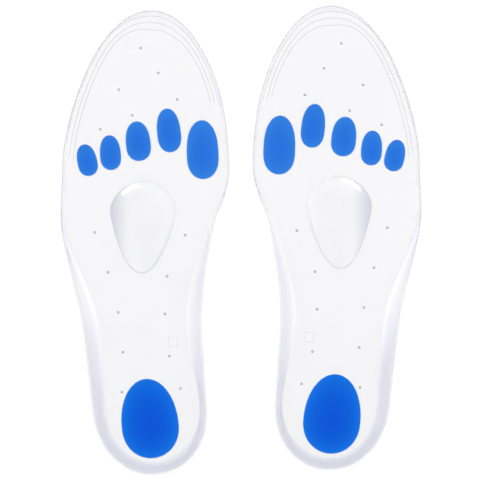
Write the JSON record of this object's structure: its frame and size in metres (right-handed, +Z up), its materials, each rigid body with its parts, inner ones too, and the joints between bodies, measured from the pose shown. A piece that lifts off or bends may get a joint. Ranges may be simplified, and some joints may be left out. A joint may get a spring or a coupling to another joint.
{
  "type": "cushioned insole pair",
  "caption": "Left and right full-length clear gel insoles with heel cup, arch flange, raised metatarsal dome and soft blue pads under the ball and heel.",
  "frame": {"origin": "under the middle of the pair, on the surface it lies on", "axes": "+Y from heels to toes, +Z up from the sole to the footbed, +X from the left insole to the right one"},
  "size_m": [0.2174, 0.2828, 0.0184],
  "materials": {
    "clear_gel": "clear silicone gel, moulded, glossy",
    "clear_dome_gel": "softer clear silicone gel, glossy",
    "blue_ball_gel": "soft translucent blue silicone gel, satin",
    "blue_heel_gel": "thicker soft translucent blue silicone gel, satin"
  },
  "bodies": {
    "left_insole": {"left_gel_body": "clear_gel", "left_metatarsal_dome": "clear_dome_gel", "left_heel_pad": "blue_heel_gel", "left_first_metatarsal_pad": "blue_ball_gel", "left_second_metatarsal_pad": "blue_ball_gel", "left_third_metatarsal_pad": "blue_ball_gel", "left_fourth_metatarsal_pad": "blue_ball_gel", "left_fifth_metatarsal_pad": "blue_ball_gel"},
    "right_insole": {"right_gel_body": "clear_gel", "right_metatarsal_dome": "clear_dome_gel", "right_heel_pad": "blue_heel_gel", "right_first_metatarsal_pad": "blue_ball_gel", "right_second_metatarsal_pad": "blue_ball_gel", "right_third_metatarsal_pad": "blue_ball_gel", "right_fourth_metatarsal_pad": "blue_ball_gel", "right_fifth_metatarsal_pad": "blue_ball_gel"}
  },
  "joints": [
    {"name": "right_insole_lift", "type": "slide", "parent": "left_insole", "child": "right_insole", "axis": [0, 0, 1], "range_m": [0, 0.12]}
  ]
}
